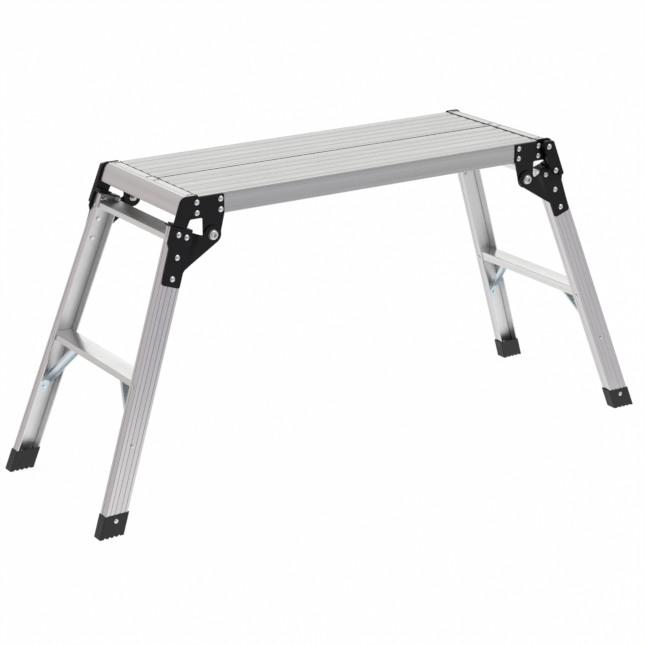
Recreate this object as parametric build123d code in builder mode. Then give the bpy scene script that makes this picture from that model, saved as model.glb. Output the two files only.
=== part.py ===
from build123d import *
import os
from math import acos, atan2, cos, radians, sin, sqrt, tan

# Folding aluminium work platform: a ribbed deck of two boards on two folding leg frames.
# Millimetres, +Z up, +X along the deck, origin on the floor under the middle of the deck.
# Each corner piece is drawn once at the front right corner (+X, -Y) and mirrored to the others.
# Leg coordinates start at the pivot: u runs outboard, square to the leg, and s runs up along it.
# Side coordinate v is the distance from the middle plane of the platform, towards the front.

# Deck
deck_height = 592.0
deck_width = 300.0
board_length = 766.6
board_depth = 40.5
board_gap = 4.8
board_plate = 3.4
board_wall = 2.0
rail_lip = 14.0
seam_lip = 10.0
rib_pitch = 27.0
flute_offsets = [step * rib_pitch for step in (-2, -1, 0, 1, 2)]
flute_width = 24.0
flute_depth = 1.0
stiffener_offsets = (-1.5 * rib_pitch, 1.5 * rib_pitch)
stiffener_depth = 15.0
stiffener_bulb = 2.2
rail_groove_drops = (4.2, 10.2, 31.0)
rail_groove_width = 1.2
rail_groove_depth = 0.6
rail_round = 2.2
seam_round = 0.4

# End beams
seam_gap = 4.6
beam_rise = 0.6
beam_wall = 2.2
beam_drop = 33.5
beam_inner_drop = 37.0
beam_lip = 9.0
beam_face_u = 79.0
beam_round = 16.0
beam_edge_round = 0.4
beam_low_round = 2.5
beam_end_clearance = 0.2
beam_top_line = 15.6
beam_line_drops = (11.5, 28.0)
beam_line_width = 1.2
beam_line_depth = 0.5
port_radius = 4.6
crimp_radius = 2.2
crimp_depth = 1.6
crimp_rows = (14.0, 139.0)
crimp_inset = 3.6
crimp_pitch = 6.4

# Legs
pivot_x = 358.5
pivot_drop = 75.0
leg_lean = 19.45
leg_flare = 5.12
web_v = 148.2
stile_inner_u = 37.75
stile_width = 43.0
stile_flange = 21.5
stile_wall = 2.0
stile_top_s = -3.6
stile_end_z = 7.0
stile_round = 1.2
stile_inner_round = 1.6
web_groove_offsets = (-14.3, -5.3, 5.3, 14.3)
web_groove_width = 3.0
web_groove_depth = 0.8
flange_groove_width = 9.0
flange_groove_depth = 0.4

# Treads: channels with a short lip outboard and a deeper one inboard, in that order
tread_wall = 2.0
tread_gap = 0.15
tread_round = 1.5
step_top_z = 270.0
step_lips = (10.0, 19.5)
step_end_gap = 1.4
rung_top_z = 523.3
rung_lips = (9.0, 14.0)
rung_end_gap = 4.2
lip_rivet_rise = 3.6
# Length of the cutter for the holes through a flange and a lip, too short to reach the tread
lip_cutter = 12.0

# Step braces: a folded strap with turned edges
brace_width = 20.0
brace_wall = 2.0
brace_rivet_z = 160.0
brace_tab_below = 12.0
brace_tab_above = 14.0
brace_top_v = 88.0
brace_tab_inner_v = 62.0
brace_edge_depth = 6.0
brace_edge_wall = 1.6
brace_gap = 0.2

# Steel brackets
plate = 3.0
layer_gap = 0.3
edge_break = 0.5
deck_plate_v = deck_width / 2
deck_plate_inboard_x = 331.5
deck_plate_low_top = 2.5
deck_plate_high_top = 1.8
deck_plate_step_x = 384.5
deck_plate_step_run = 1.5
deck_plate_edge_u = 83.0
deck_plate_shoulder_z = 553.0
deck_lug_radius = 18.0
deck_plate_rounds = (3.0, 1.0, 2.0, 15.5, 1.5, 1.5, 4.0, 4.0, 0, 0, 0, 6.0)
deck_rivet_xs = (339.4, 388.3)
deck_rivet_drops = (11.5, 31.2)
window_top_z = 550.5
window_outer_x = 402.5
foot_inner_u = 54.5
stop_gap = 0.35
foot_flange_depth = 20.0
leg_lug_radius = 17.4
lug_fillet = 5.0
neck_top_s = -5.5
neck_u = 28.0
body_u = 38.0
body_low_s = -74.2
leg_flange_u = (40.0, 86.0)
leg_flange_depth = 22.0
leg_bend = 2.4
body_outline = ((86.0, -33.0), (80.5, -43.0), (76.5, -108.5), (40.0, -108.5), (40.0, -79.0))
body_rounds = (5.0, 8.0, 4.5, 4.5, 12.0)
leg_rivets = ((49.1, -15.7), (59.1, -54.5), (59.0, -93.8))
outer_rivet = (66.6, -14.3)

# Pivots
bolt_radius = 5.0
bush_radius = 7.0
fit_gap = 0.05
bush_flange_radius = 9.5
bush_flange = 0.8
bolt_head_radius = 9.0
bolt_head_height = 5.2
bolt_head_gap = 0.25
bolt_head_edge = 1.4
socket_radius = 4.4
socket_depth = 3.6
thread_radius = 3.0
bolt_tip_v = 139.0
nut_radius = 5.8
nut_height = 5.2
nut_washer_radius = 6.6
nut_washer = 1.5

# Latches at the front right and rear left corners
lever_back_v = 157.3
lever_depth = 8.7
lever_wall = 2.3
latch_pin = (64.0, 43.2)
catch_pin = (65.4, -11.0)
ledge_rise = 5.8
hook_reach = 6.2
lever_tip = (83.0, -27.5)
ledge_end_u = 59.0
ledge_corner = 4.5
lever_crown = ((54.0, 56.0), (66.0, 55.4), (79.5, 48.5))
lever_rounds = (8.0, 5.0, 3.0, 3.0, 3.0, 1.5, 2.0, 2.0)
lever_edge_round = 1.6
pin_radius = 3.0
pin_head_radius = 5.6
pin_head_height = 3.2
pin_tail_radius = 4.5
pin_tail = 2.9
catch_tail_v = 146.8
spring_radius = 5.0
spring_wire = 0.7
spring_pitch = 1.85
spring_half_turns = 9
spring_start_v = 154.4
spring_leg = 7.0

# Rivets
rivet_hole_play = 0.1
plate_rivet_head = 5.2
plate_rivet_height = 2.9
plate_rivet_shank = 2.4
plate_rivet_tail = 3.7
small_rivet_head = 4.2
small_rivet_height = 2.0
small_rivet_shank = 2.0
small_rivet_tail = 2.8
pit_share = 0.3
pit_depth = 1.2
rivet_tail_height = 2.6
rivet_edge = 0.6
rivet_tip = 1.6
port_depth = 11.0
pin_play = 0.4
# Length of the cutters for holes: long enough for any wall, too short to reach the next one
cutter = 32.0

# Feet
foot_height = 40.0
foot_wall = 2.0
foot_round = 2.5
foot_plug_drop = 24.0
foot_slot_gap = 0.15
foot_rivet_z = 29.0
sole_groove_radius = 2.3
sole_groove_pitch = 9.6
sole_groove_count = 4

# Derived sizes
half_width = deck_width / 2
seam_face = board_gap / 2
board_width = half_width - seam_face
board_mid = seam_face + board_width / 2
rail_bottom_z = deck_height - board_depth
beam_inner_x = board_length / 2 + seam_gap
pivot_z = deck_height - pivot_drop
lean = radians(leg_lean)
flare = radians(leg_flare)
stile_outer_u = stile_inner_u + stile_width
stile_mid_u = stile_inner_u + stile_width / 2
deck_plate_outer_v = deck_plate_v + plate
leg_lug_v = deck_plate_outer_v + layer_gap
leg_lug_outer_v = leg_lug_v + plate
lever_face_v = lever_back_v + lever_depth
plate_hole = plate_rivet_shank + rivet_hole_play
small_hole = small_rivet_shank + rivet_hole_play
out_u = Vector(cos(lean), 0, sin(lean))
up_s = Vector(-sin(lean), 0, cos(lean))
front = Vector(0, -1, 0)
ledge_s = catch_pin[1] + ledge_rise
hook_u = catch_pin[0] + hook_reach


def leg_xz(u, s):
    """Side view position of a point given in leg coordinates."""
    return (pivot_x + u * cos(lean) - s * sin(lean), pivot_z + u * sin(lean) + s * cos(lean))


def leg_x(u, z):
    """Side view x of the line of constant u at a height."""
    return pivot_x + u / cos(lean) - (z - pivot_z) * tan(lean)


def leg_s(u, z):
    """Distance along the leg of the point of a line of constant u at a height."""
    return (z - pivot_z - u * sin(lean)) / cos(lean)


def leg_plane(v):
    """Upright plane in leg coordinates, facing the front at a distance from the middle."""
    return Plane(origin=(pivot_x, -v, pivot_z), x_dir=out_u, z_dir=front)


# The outer face of the flared stile web, and the section across the stile looking down it
web_plane = Plane(leg_plane(web_v).origin, x_dir=out_u, z_dir=front * cos(flare) + up_s * sin(flare))
section_plane = Plane(origin=web_plane.origin, x_dir=out_u, z_dir=-web_plane.y_dir)


def web_point(u, s, n):
    """Point in the flared frame: n is measured outwards from the web face."""
    return web_plane.from_local_coords(Vector(u, s, n))


def web_s(u, z):
    """Distance along the flared stile of the point of a web line at a height."""
    return leg_s(u, z) / cos(flare)


def web_seat(u, s, n):
    """Seat of a rivet head on the web or on a plate lying on it."""
    return Plane(origin=web_point(u, s, n), x_dir=out_u, z_dir=web_plane.z_dir)


def side_seat(x, z, v):
    """Seat of a head on an upright face of the deck."""
    return Plane(origin=(x, -v, z), x_dir=(1, 0, 0), z_dir=front)


def deck_seats(x, v):
    """Seats of the two rivets one above the other on the side of the deck."""
    return [side_seat(x, deck_height - drop, v) for drop in deck_rivet_drops]


def flange_seat(u, z, way):
    """Seat of a rivet head on the middle of a stile flange, facing outboard or inboard."""
    middle = web_point(u, web_s(u, z), -stile_flange / 2)
    return Plane(origin=middle, x_dir=web_plane.y_dir, z_dir=out_u * way)


def headed(head_radius, head_height, shank_radius, grip, tail_radius, tail_height):
    """Domed head with a pit in it, on the XY plane, with the shank and the set tail below."""
    dome = head_height - rivet_edge
    ball = (head_radius ** 2 + dome ** 2) / (2 * dome)
    half_way = head_radius / sqrt(2)
    with BuildPart() as body:
        with BuildSketch(Plane.XZ):
            with BuildLine():
                ThreePointArc(
                    (0, head_height),
                    (half_way, head_height - ball + sqrt(ball ** 2 - half_way ** 2)),
                    (head_radius, rivet_edge),
                )
                Polyline(
                    (head_radius, rivet_edge),
                    (head_radius, 0),
                    (shank_radius, 0),
                    (shank_radius, -grip),
                    (tail_radius, -grip),
                    (tail_radius, -grip - tail_height),
                    (0, -grip - tail_height),
                    (0, head_height),
                )
            make_face()
        revolve(axis=Axis.Z)
        with Locations((0, 0, head_height)):
            Cylinder(pit_share * head_radius, 2 * pit_depth, mode=Mode.SUBTRACT)
    return body.part


def plate_rivet(grip, tail_radius, tail_height):
    """Large rivet of the steel brackets."""
    return headed(plate_rivet_head, plate_rivet_height, plate_rivet_shank, grip, tail_radius, tail_height)


def small_rivet(grip, tail_radius, tail_height):
    """Small blind rivet of the treads, braces and feet."""
    return headed(small_rivet_head, small_rivet_height, small_rivet_shank, grip, tail_radius, tail_height)


def set_on(piece, seats):
    """One copy of a fastener on every seat."""
    with BuildPart() as group:
        for seat in seats:
            with Locations(seat):
                add(piece)
    return group.part


def tangent_angle(point, radius):
    """Direction of a point from the pivot, and the turn from it to where its tangent meets a circle."""
    return atan2(point[1], point[0]), acos(radius / sqrt(point[0] ** 2 + point[1] ** 2))


def lip_seats(top_z, lips):
    """Seats of the rivets through the flanges and lips of a tread, outboard first."""
    outboard_z = top_z - lips[0] + lip_rivet_rise
    inboard_z = top_z - lips[1] + lip_rivet_rise
    return [flange_seat(stile_outer_u, outboard_z, 1), flange_seat(stile_inner_u, inboard_z, -1)]


def tread(top_z, lips, end_gap):
    """Channel across a leg frame: a level tread with a lip down the inside of each flange."""
    inner_u = stile_inner_u + stile_wall + tread_gap
    outer_u = stile_outer_u - stile_wall - tread_gap
    outer_z = top_z - lips[0]
    inner_z = top_z - lips[1]
    under_z = top_z - tread_wall
    end_s = web_s(stile_mid_u, top_z)
    half_length = -web_point(stile_mid_u, end_s, -stile_wall).Y - end_gap
    with BuildPart() as channel:
        with BuildSketch(Plane.XZ):
            with BuildLine():
                FilletPolyline(
                    (leg_x(inner_u, inner_z), inner_z),
                    (leg_x(inner_u, top_z), top_z),
                    (leg_x(outer_u, top_z), top_z),
                    (leg_x(outer_u, outer_z), outer_z),
                    (leg_x(outer_u - tread_wall, outer_z), outer_z),
                    (leg_x(outer_u - tread_wall, under_z), under_z),
                    (leg_x(inner_u + tread_wall, under_z), under_z),
                    (leg_x(inner_u + tread_wall, inner_z), inner_z),
                    radius=(0, tread_round, tread_round, 0, 0, 0, 0, 0),
                    close=True,
                )
            make_face()
        extrude(amount=half_length, both=True)
        seats = lip_seats(top_z, lips)
        with Locations(seats):
            Cylinder(small_hole, lip_cutter, mode=Mode.SUBTRACT)
        mirrored = [Plane(origin=(p.origin.X, -p.origin.Y, p.origin.Z), z_dir=p.z_dir) for p in seats]
        with Locations(mirrored):
            Cylinder(small_hole, lip_cutter, mode=Mode.SUBTRACT)
    return channel.part


def deck_bracket(with_latch):
    """Plate that ties a board to an end beam, with the pivot lug and the stop foot."""
    centre = (pivot_x, pivot_z)
    shoulder = (deck_plate_inboard_x, deck_plate_shoulder_z)
    aim, spread = tangent_angle((shoulder[0] - pivot_x, shoulder[1] - pivot_z), deck_lug_radius)
    touch = (pivot_x + deck_lug_radius * cos(aim + spread), pivot_z + deck_lug_radius * sin(aim + spread))
    low_z = deck_height - deck_plate_low_top
    high_z = deck_height + deck_plate_high_top
    with BuildPart() as body:
        with BuildSketch(Plane.XZ.offset(deck_plate_v)):
            with BuildLine():
                FilletPolyline(
                    (deck_plate_inboard_x, low_z),
                    (deck_plate_step_x, low_z),
                    (deck_plate_step_x + deck_plate_step_run, high_z),
                    (leg_x(deck_plate_edge_u, high_z), high_z),
                    leg_xz(deck_plate_edge_u, stop_gap),
                    leg_xz(foot_inner_u, stop_gap),
                    (window_outer_x, window_top_z),
                    (pivot_x + deck_lug_radius, window_top_z),
                    (pivot_x + deck_lug_radius, pivot_z),
                    centre,
                    touch,
                    shoulder,
                    radius=deck_plate_rounds,
                    close=True,
                )
            make_face()
            with Locations(centre):
                Circle(deck_lug_radius)
        extrude(amount=plate)
        outer_edges = body.faces().sort_by(Axis.Y)[0].outer_wire().edges()
        chamfer(outer_edges, edge_break)
        with BuildSketch(leg_plane(deck_plate_v + plate / 2)):
            with Locations(((foot_inner_u + deck_plate_edge_u + plate) / 2, stop_gap)):
                Rectangle(
                    deck_plate_edge_u - foot_inner_u - plate,
                    plate,
                    align=(Align.CENTER, Align.MIN),
                )
        extrude(amount=-foot_flange_depth)
        for x in deck_rivet_xs:
            with Locations(deck_seats(x, deck_plate_v)):
                Cylinder(plate_hole, cutter, mode=Mode.SUBTRACT)
        with Locations(side_seat(pivot_x, pivot_z, deck_plate_v)):
            Cylinder(bolt_radius + fit_gap, cutter, mode=Mode.SUBTRACT)
        if with_latch:
            with Locations(side_seat(*leg_xz(*latch_pin), deck_plate_v)):
                Cylinder(pin_radius + fit_gap, cutter, mode=Mode.SUBTRACT)
    return body.part


def leg_bracket(with_latch):
    """Plate riveted to a stile, joggled out to its lug and bent inwards over the stile end."""
    diagonal = (body_u, body_low_s)
    aim, spread = tangent_angle(diagonal, leg_lug_radius)
    touch = (leg_lug_radius * cos(aim - spread), leg_lug_radius * sin(aim - spread))
    climb = (neck_u - touch[0]) / (body_u - touch[0])
    neck_low = touch[1] + (body_low_s - touch[1]) * climb
    lug_meets_neck_u = sqrt(leg_lug_radius ** 2 - neck_top_s ** 2)
    with BuildPart() as body:
        with BuildSketch(web_plane):
            with BuildLine():
                FilletPolyline(
                    (body_u, body_low_s),
                    (body_u, neck_top_s),
                    (leg_flange_u[0], neck_top_s),
                    (leg_flange_u[0], 2 * plate),
                    (leg_flange_u[1], 2 * plate),
                    *body_outline,
                    radius=(0, 0, 0, 0, 0, *body_rounds),
                    close=True,
                )
            make_face()
        extrude(amount=plate)
        with BuildSketch(leg_plane(web_v + plate / 2)):
            with Locations((leg_flange_u[0], -plate)):
                Rectangle(leg_flange_u[1] - leg_flange_u[0], 2 * plate, align=(Align.MIN, Align.MIN))
        extrude(amount=-leg_flange_depth)
        with BuildSketch(leg_plane(leg_lug_outer_v)):
            with Locations((leg_flange_u[0] - plate / 2, 0)):
                Rectangle(leg_flange_u[1], 4 * plate, align=(Align.MIN, Align.MIN))
        extrude(amount=-2 * leg_flange_depth, mode=Mode.SUBTRACT)
        flange_mid_u = (leg_flange_u[0] + leg_flange_u[1]) / 2
        fillet(body.edges().sort_by_distance(web_point(flange_mid_u, 0, plate))[0], leg_bend)
        with BuildSketch(leg_plane(leg_lug_v)) as lug:
            with BuildLine():
                Polyline(
                    touch,
                    (neck_u, neck_low),
                    (neck_u, neck_top_s),
                    (0, neck_top_s),
                    (0, 0),
                    close=True,
                )
            make_face()
            Circle(leg_lug_radius)
            fillet(lug.vertices().sort_by_distance((lug_meets_neck_u, neck_top_s))[0], lug_fillet)
        extrude(amount=plate)
        neck_end = Plane(origin=leg_plane(0).from_local_coords((neck_u, 0, 0)), x_dir=up_s, z_dir=out_u)
        with BuildSketch(neck_end) as lug_side:
            with Locations(((neck_low + neck_top_s) / 2, leg_lug_v + plate / 2)):
                Rectangle(neck_top_s - neck_low, plate)
        body_end = Plane(origin=web_point(body_u, 0, 0), x_dir=web_plane.y_dir, z_dir=out_u)
        with BuildSketch(body_end) as web_side:
            with Locations(((body_low_s + neck_top_s) / 2, plate / 2)):
                Rectangle(neck_top_s - body_low_s, plate)
        loft(sections=[lug_side.sketch.face(), web_side.sketch.face()], ruled=True)
        with Locations([web_seat(u, s, 0) for u, s in leg_rivets]):
            Cylinder(plate_hole, cutter, mode=Mode.SUBTRACT)
        if with_latch:
            with Locations(side_seat(*leg_xz(*catch_pin), web_v)):
                Cylinder(pin_radius + fit_gap, cutter, mode=Mode.SUBTRACT)
        else:
            with Locations(web_seat(*outer_rivet, 0)):
                Cylinder(plate_hole, cutter, mode=Mode.SUBTRACT)
        with Locations(side_seat(pivot_x, pivot_z, leg_lug_v)):
            Cylinder(bush_radius, cutter, mode=Mode.SUBTRACT)
    return body.part


def at_corner(master, flips):
    """Copy of a front right piece, mirrored to its own corner."""
    with BuildPart() as piece:
        add(master)
        for flip in flips:
            mirror(about=flip, mode=Mode.REPLACE)
    return piece.part


def both_sides(master):
    """Front right fasteners together with the same ones at the rear right."""
    with BuildPart() as group:
        add(master)
        mirror(about=Plane.XZ)
    return group.part


def save(piece, name):
    """Label a piece with its node name and write it out."""
    piece.label = name
    export_step(piece, f"parts/{name}.step")


os.makedirs("parts", exist_ok=True)

# Boards: the front one is drawn and the rear one mirrored
with BuildPart() as front_board:
    with BuildSketch(Plane.YZ):
        with Locations((-board_mid, deck_height)):
            Rectangle(board_width, board_plate, align=(Align.CENTER, Align.MAX))
        with Locations((-half_width, rail_bottom_z)):
            Rectangle(board_wall, board_depth, align=(Align.MIN, Align.MIN))
            Rectangle(rail_lip, board_wall, align=(Align.MIN, Align.MIN))
        with Locations((-seam_face, rail_bottom_z)):
            Rectangle(board_wall, board_depth, align=(Align.MAX, Align.MIN))
            Rectangle(seam_lip, board_wall, align=(Align.MAX, Align.MIN))
        plate_under_z = deck_height - board_plate
        with Locations([(step - board_mid, plate_under_z) for step in stiffener_offsets]):
            Rectangle(board_wall, stiffener_depth, align=(Align.CENTER, Align.MAX))
        with Locations([(step - board_mid, plate_under_z - stiffener_depth) for step in stiffener_offsets]):
            Circle(stiffener_bulb)
        for flute in flute_offsets:
            near_edge = (flute - board_mid - flute_width / 2, deck_height)
            far_edge = (flute - board_mid + flute_width / 2, deck_height)
            with BuildLine():
                ThreePointArc(near_edge, (flute - board_mid, deck_height - flute_depth), far_edge)
                Line(far_edge, near_edge)
            make_face(mode=Mode.SUBTRACT)
        with Locations([(-half_width, deck_height - drop) for drop in rail_groove_drops]):
            Rectangle(2 * rail_groove_depth, rail_groove_width, mode=Mode.SUBTRACT)
    extrude(amount=board_length / 2, both=True)
    long_edges = front_board.edges().filter_by(Axis.X)
    rail_edges = long_edges.group_by(Axis.Y)[0]
    fillet([rail_edges.sort_by(Axis.Z)[0], rail_edges.sort_by(Axis.Z)[-1]], rail_round)
    seam_edges = front_board.edges().filter_by(Axis.X).group_by(Axis.Y)[-1]
    fillet(seam_edges.sort_by(Axis.Z)[-1], seam_round)
    with Locations(deck_seats(deck_rivet_xs[0], half_width) + deck_seats(-deck_rivet_xs[0], half_width)):
        Cylinder(plate_hole, cutter, mode=Mode.SUBTRACT)
save(front_board.part, "front_board")
save(at_corner(front_board.part, [Plane.XZ]), "rear_board")

# End beams: level top a little above the boards, large round and a face that leans with the legs
beam_top_z = deck_height + beam_rise
beam_low_z = deck_height - beam_drop
beam_low_x = leg_x(beam_face_u, beam_low_z)
with BuildPart() as right_end_beam:
    with BuildSketch(Plane.XZ):
        with BuildLine():
            FilletPolyline(
                (beam_inner_x, deck_height - beam_inner_drop),
                (beam_inner_x, beam_top_z),
                (leg_x(beam_face_u, beam_top_z), beam_top_z),
                (beam_low_x, beam_low_z),
                (beam_low_x - beam_lip, beam_low_z),
                radius=(beam_edge_round, beam_round, beam_low_round),
            )
            offset(amount=beam_wall, side=Side.LEFT)
        make_face()
        with Locations([(deck_rivet_xs[1], deck_height - drop) for drop in deck_rivet_drops]):
            Circle(port_radius)
            Circle(plate_hole, mode=Mode.SUBTRACT)
        with Locations((beam_inner_x + beam_top_line, beam_top_z)):
            Rectangle(beam_line_width, 2 * beam_line_depth, mode=Mode.SUBTRACT)
        for drop in beam_line_drops:
            with Locations((leg_x(beam_face_u, deck_height - drop), deck_height - drop)):
                Rectangle(2 * beam_line_depth, beam_line_width, rotation=leg_lean, mode=Mode.SUBTRACT)
    extrude(amount=half_width - beam_end_clearance, both=True)
    crimp_xs = (beam_inner_x + crimp_inset, beam_inner_x + crimp_inset + crimp_pitch)
    crimps = [(x, row * side, beam_top_z) for x in crimp_xs for row in crimp_rows for side in (1, -1)]
    with Locations(crimps):
        Cylinder(crimp_radius, 2 * crimp_depth, mode=Mode.SUBTRACT)
save(right_end_beam.part, "right_end_beam")
save(at_corner(right_end_beam.part, [Plane.YZ]), "left_end_beam")

# Seats shared by the stiles and the fasteners on them
stile_end_s = web_s(stile_inner_u, stile_end_z)
brace_seat = web_seat(stile_mid_u, web_s(stile_mid_u, brace_rivet_z), 0)
foot_seat = web_seat(stile_mid_u, web_s(stile_mid_u, foot_rivet_z), foot_wall)
step_seats = lip_seats(step_top_z, step_lips)
rung_seats = lip_seats(rung_top_z, rung_lips)


def stile(with_latch):
    """Channel open towards the middle, with fine grooves along the web."""
    with BuildPart() as channel:
        with BuildSketch(section_plane.offset(-stile_top_s)):
            with Locations((stile_mid_u, 0)):
                Rectangle(stile_width, stile_flange, align=(Align.CENTER, Align.MAX))
            with Locations((stile_mid_u, -stile_wall)):
                Rectangle(
                    stile_width - 2 * stile_wall,
                    stile_flange,
                    align=(Align.CENTER, Align.MAX),
                    mode=Mode.SUBTRACT,
                )
            with Locations([(stile_mid_u + step, 0) for step in web_groove_offsets]):
                Rectangle(web_groove_width, 2 * web_groove_depth, mode=Mode.SUBTRACT)
            with Locations((stile_inner_u, -stile_flange / 2), (stile_outer_u, -stile_flange / 2)):
                Rectangle(2 * flange_groove_depth, flange_groove_width, mode=Mode.SUBTRACT)
        extrude(amount=stile_top_s - stile_end_s)
        run = Axis(web_plane.origin, web_plane.y_dir)
        middle_s = (stile_top_s + stile_end_s) / 2
        long_edges = channel.edges().filter_by(run)
        corners = [web_point(u, middle_s, 0) for u in (stile_inner_u, stile_outer_u)]
        fillet([long_edges.sort_by_distance(corner)[0] for corner in corners], stile_round)
        long_edges = channel.edges().filter_by(run)
        inner_us = (stile_inner_u + stile_wall, stile_outer_u - stile_wall)
        corners = [web_point(u, middle_s, -stile_wall) for u in inner_us]
        fillet([long_edges.sort_by_distance(corner)[0] for corner in corners], stile_inner_round)
        with Locations([web_seat(u, s, 0) for u, s in leg_rivets]):
            Cylinder(plate_hole, cutter, mode=Mode.SUBTRACT)
        if with_latch:
            with Locations(web_seat(*catch_pin, 0)):
                Cylinder(pin_radius + pin_play, cutter, mode=Mode.SUBTRACT)
        else:
            with Locations(web_seat(*outer_rivet, 0)):
                Cylinder(plate_hole, cutter, mode=Mode.SUBTRACT)
        with Locations(brace_seat, foot_seat):
            Cylinder(small_hole, cutter, mode=Mode.SUBTRACT)
        with Locations(step_seats + rung_seats):
            Cylinder(small_hole, lip_cutter, mode=Mode.SUBTRACT)
    return channel.part


# Step brace: a tab on the web, a diagonal with turned edges and a level tab under the tread
brace_rivet_s = leg_s(stile_mid_u, brace_rivet_z)
tread_under_z = step_top_z - tread_wall - brace_gap
brace_top_s = leg_s(stile_mid_u, tread_under_z)


def web_inner_v(s):
    """Side distance of the inner face of the web at a leg position."""
    return web_v - s * tan(flare) - (stile_wall + brace_gap) / cos(flare)


brace_low = (web_inner_v(brace_rivet_s - brace_tab_below), brace_rivet_s - brace_tab_below)
brace_bend = (web_inner_v(brace_rivet_s + brace_tab_above), brace_rivet_s + brace_tab_above)
brace_top = (brace_top_v, brace_top_s)
brace_rise = (brace_top[1] - brace_bend[1]) / (brace_top[0] - brace_bend[0])
brace_past = (brace_top_v - brace_edge_depth * 2, brace_top_s - brace_rise * brace_edge_depth * 2)
brace_plane = Plane(origin=leg_plane(0).from_local_coords((stile_mid_u, 0, 0)), x_dir=front, z_dir=-out_u)
with BuildPart() as brace:
    with BuildSketch(brace_plane):
        with BuildLine():
            Polyline(brace_low, brace_bend, brace_past)
            offset(amount=brace_wall, side=Side.LEFT)
        make_face()
    extrude(amount=brace_width / 2, both=True)
    for way in (1, -1):
        with BuildSketch(brace_plane.offset(way * (brace_width - brace_edge_wall) / 2)):
            with BuildLine():
                Polyline(brace_bend, brace_past)
                offset(amount=brace_edge_depth, side=Side.LEFT)
            make_face()
        extrude(amount=brace_edge_wall / 2, both=True)
    split(bisect_by=Plane.XY.offset(tread_under_z), keep=Keep.BOTTOM)
    tab_x = leg_x(stile_mid_u, tread_under_z)
    tab_length = brace_top_v - brace_tab_inner_v
    with Locations((tab_x, -brace_tab_inner_v, tread_under_z)):
        Box(brace_width, tab_length, brace_wall, align=(Align.CENTER, Align.MAX, Align.MAX))
    with Locations(brace_seat):
        Cylinder(small_hole, cutter, mode=Mode.SUBTRACT)

# Foot: an open boot around the end of the stile, with a low plug inside the channel
boot_run = 2 * foot_height
boot_start = -web_s(stile_mid_u, foot_height) - boot_run / 2
plug_start = -web_s(stile_mid_u, foot_height) + foot_plug_drop
slot_start = -stile_end_s + foot_slot_gap
plug_u = stile_width - 2 * (stile_wall + foot_slot_gap)
with BuildPart() as foot:
    with BuildSketch(section_plane.offset(boot_start)):
        with Locations((stile_mid_u, foot_wall)):
            RectangleRounded(
                stile_width + 2 * foot_wall,
                stile_flange + 2 * foot_wall,
                foot_round,
                align=(Align.CENTER, Align.MAX),
            )
    extrude(amount=2 * boot_run)
    split(bisect_by=Plane.XY, keep=Keep.TOP)
    split(bisect_by=Plane.XY.offset(foot_height), keep=Keep.BOTTOM)
    with BuildSketch(section_plane.offset(slot_start)):
        with Locations((stile_mid_u, foot_slot_gap)):
            Rectangle(
                stile_width + 2 * foot_slot_gap,
                stile_flange + 2 * foot_slot_gap,
                align=(Align.CENTER, Align.MAX),
            )
    extrude(amount=-2 * boot_run, mode=Mode.SUBTRACT)
    with BuildSketch(section_plane.offset(plug_start)):
        with Locations((stile_mid_u, -stile_wall - foot_slot_gap)):
            RectangleRounded(
                plug_u,
                stile_flange - stile_wall,
                stile_inner_round,
                align=(Align.CENTER, Align.MAX),
            )
    extrude(amount=slot_start - plug_start)
    sole_x = leg_x(stile_mid_u, 0)
    first_groove = sole_x - sole_groove_pitch * (sole_groove_count - 1) / 2
    for groove in range(sole_groove_count):
        with BuildSketch(Plane.XZ):
            with Locations((first_groove + groove * sole_groove_pitch, 0)):
                Circle(sole_groove_radius)
        extrude(amount=deck_width, mode=Mode.SUBTRACT)
    with Locations(foot_seat):
        Cylinder(small_hole, cutter, mode=Mode.SUBTRACT)

# Pivot bolt, nut and bush
bush_face_v = leg_lug_outer_v + bush_flange
bolt_seat_v = bush_face_v + bolt_head_gap
shank_end_v = deck_plate_v
with BuildPart() as pivot_bolt:
    with BuildSketch(side_seat(pivot_x, pivot_z, bolt_seat_v)):
        Circle(bolt_head_radius)
    extrude(amount=bolt_head_height)
    fillet(pivot_bolt.edges().sort_by(Axis.Y)[0], bolt_head_height - bolt_head_edge)
    with BuildSketch(side_seat(pivot_x, pivot_z, bolt_seat_v)):
        Circle(bolt_radius)
    extrude(amount=shank_end_v - bolt_seat_v)
    with BuildSketch(side_seat(pivot_x, pivot_z, shank_end_v)):
        Circle(thread_radius)
    extrude(amount=bolt_tip_v - shank_end_v)
    with BuildSketch(side_seat(pivot_x, pivot_z, bolt_seat_v + bolt_head_height)):
        RegularPolygon(socket_radius, 6)
    extrude(amount=-socket_depth, mode=Mode.SUBTRACT)
with BuildPart() as pivot_nut:
    with BuildSketch(side_seat(pivot_x, pivot_z, deck_plate_v)):
        Circle(nut_washer_radius)
    extrude(amount=-nut_washer)
    with BuildSketch(side_seat(pivot_x, pivot_z, deck_plate_v - nut_washer)):
        RegularPolygon(nut_radius, 6)
    extrude(amount=-nut_height)
    with Locations(side_seat(pivot_x, pivot_z, deck_plate_v)):
        Cylinder(thread_radius + fit_gap, cutter, mode=Mode.SUBTRACT)
with BuildPart() as pivot_bush:
    with BuildSketch(side_seat(pivot_x, pivot_z, leg_lug_v)):
        Circle(bush_radius)
    extrude(amount=bush_face_v - leg_lug_v)
    with BuildSketch(side_seat(pivot_x, pivot_z, leg_lug_outer_v)):
        Circle(bush_flange_radius)
    extrude(amount=bush_flange)
    with Locations(side_seat(pivot_x, pivot_z, leg_lug_v)):
        Cylinder(bolt_radius + fit_gap, cutter, mode=Mode.SUBTRACT)

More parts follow.
